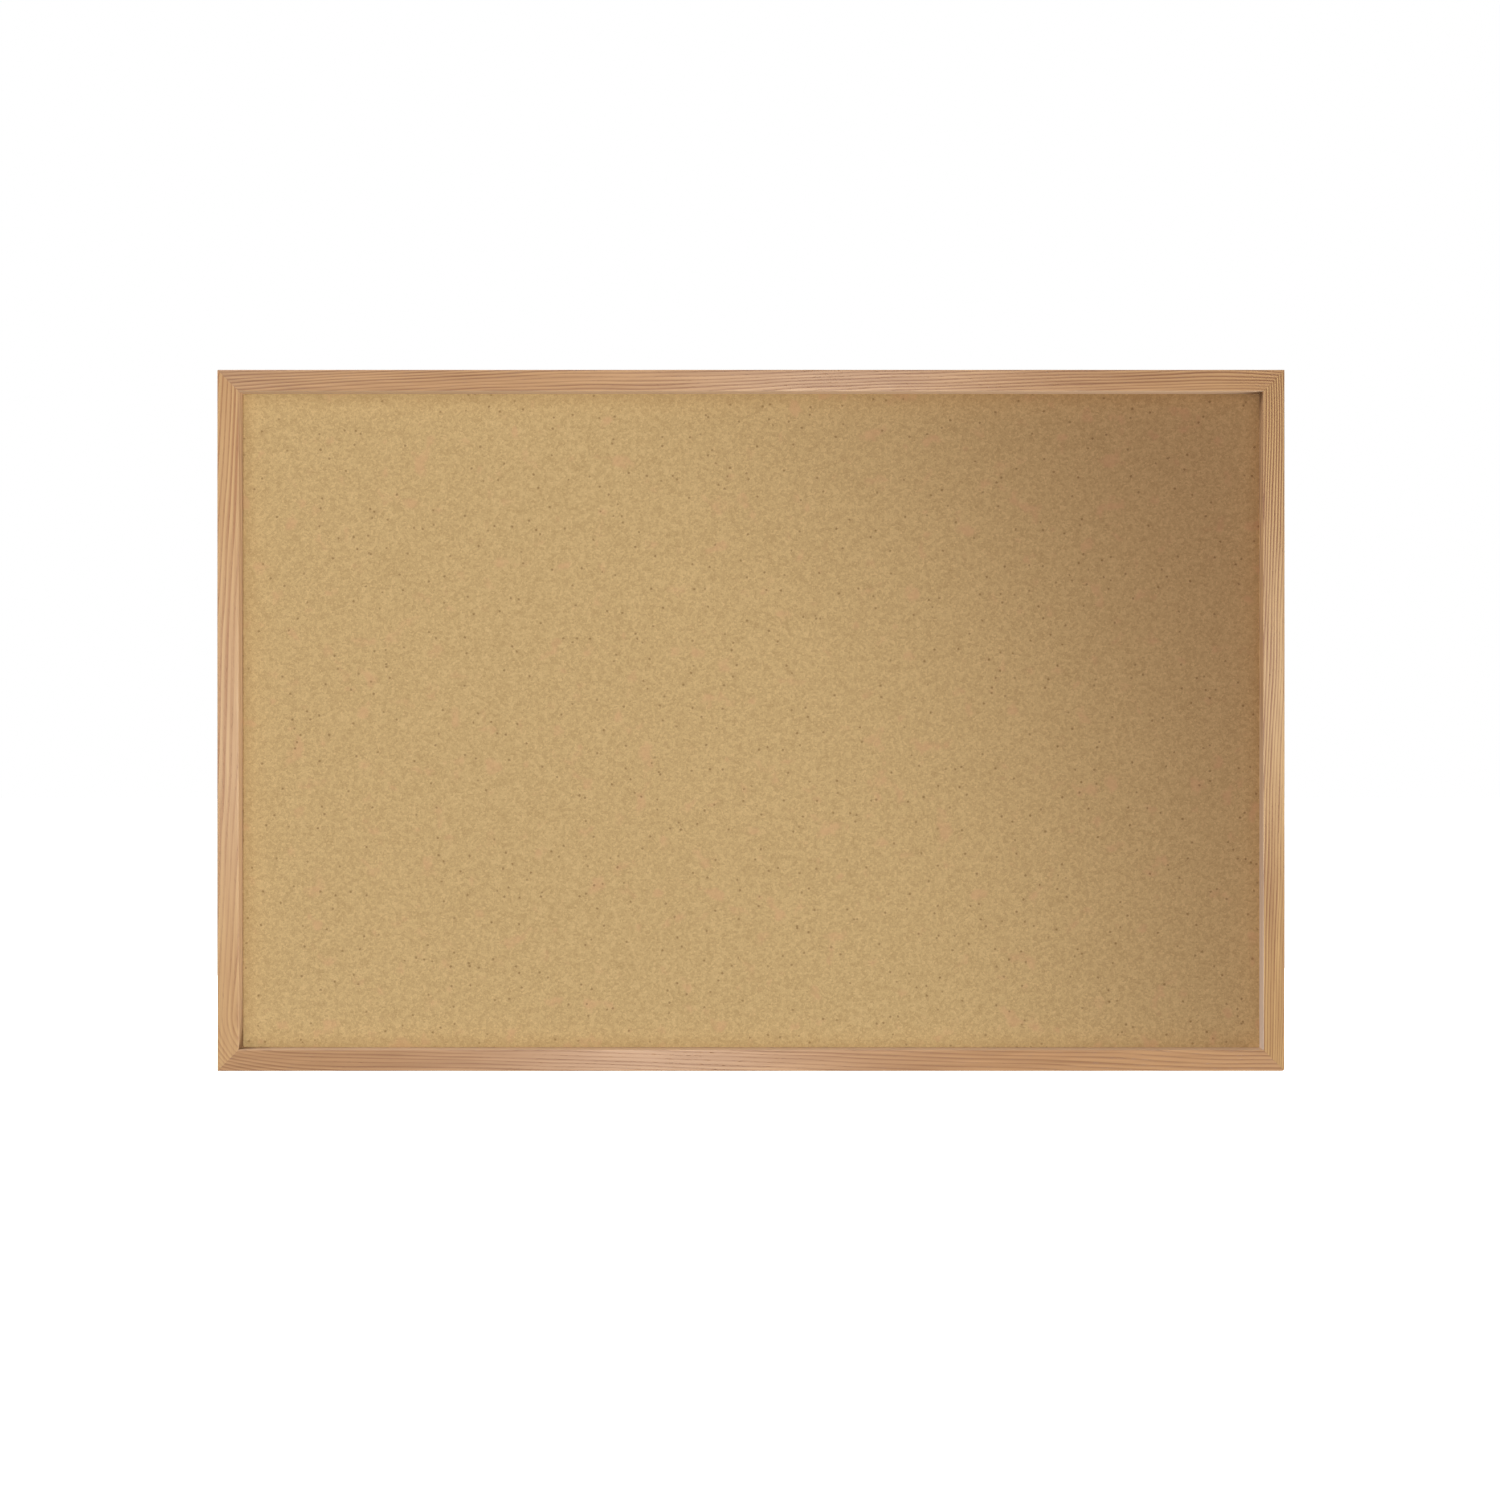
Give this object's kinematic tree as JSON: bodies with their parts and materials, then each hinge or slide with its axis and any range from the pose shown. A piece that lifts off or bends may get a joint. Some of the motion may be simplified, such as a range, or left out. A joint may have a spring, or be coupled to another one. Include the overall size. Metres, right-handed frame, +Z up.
{
  "type": "cork bulletin board",
  "caption": "Wall-hung pinboard: a cork-faced panel held in a mitred oak frame, with hinged D-ring hangers and rubber bumpers on its back.",
  "frame": {"origin": "middle of the wall plane, behind the middle of the board, where the rear faces of the bumpers touch the wall", "axes": "+X to the viewer's right, +Z up, -Y out of the cork towards the viewer, so the wall is on the +Y side"},
  "size_m": [0.889, 0.023, 0.5842],
  "materials": {
    "oak": "satin",
    "cork": "matte",
    "fibreboard": "matte",
    "kraft_paper": "matte",
    "nail_steel": "satin",
    "zinc_steel": "satin",
    "rubber": "matte"
  },
  "bodies": {
    "board": {"frame_rail_top": "oak", "frame_rail_bottom": "oak", "frame_stile_left": "oak", "frame_stile_right": "oak", "cork_sheet": "cork", "fibreboard_core": "fibreboard", "kraft_backing_paper": "kraft_paper", "panel_point_top_1": "nail_steel", "panel_point_top_2": "nail_steel", "panel_point_top_3": "nail_steel", "panel_point_top_4": "nail_steel", "panel_point_bottom_1": "nail_steel", "panel_point_bottom_2": "nail_steel", "panel_point_bottom_3": "nail_steel", "panel_point_bottom_4": "nail_steel", "panel_point_left_1": "nail_steel", "panel_point_left_2": "nail_steel", "panel_point_left_3": "nail_steel", "panel_point_right_1": "nail_steel", "panel_point_right_2": "nail_steel", "panel_point_right_3": "nail_steel", "v_nail_bottom_left_outer": "nail_steel", "v_nail_bottom_left_inner": "nail_steel", "v_nail_bottom_right_outer": "nail_steel", "v_nail_bottom_right_inner": "nail_steel", "v_nail_top_left_outer": "nail_steel", "v_nail_top_left_inner": "nail_steel", "v_nail_top_right_outer": "nail_steel", "v_nail_top_right_inner": "nail_steel", "hanger_strap_left": "zinc_steel", "hanger_screw_left_upper": "zinc_steel", "hanger_screw_left_lower": "zinc_steel", "hanger_strap_right": "zinc_steel", "hanger_screw_right_upper": "zinc_steel", "hanger_screw_right_lower": "zinc_steel", "bumper_left": "rubber", "bumper_right": "rubber"},
    "left_ring": {"hanger_ring_left": "zinc_steel"},
    "right_ring": {"hanger_ring_right": "zinc_steel"}
  },
  "joints": [
    {"name": "left_ring_hinge", "type": "hinge", "parent": "board", "child": "left_ring", "pos_m": [-0.437, -0.00205, 0.2321], "axis": [1, 0, 0], "range_deg": [0, 175]},
    {"name": "right_ring_hinge", "type": "hinge", "parent": "board", "child": "right_ring", "pos_m": [0.437, -0.00205, 0.2321], "axis": [1, 0, 0], "range_deg": [0, 175]}
  ]
}
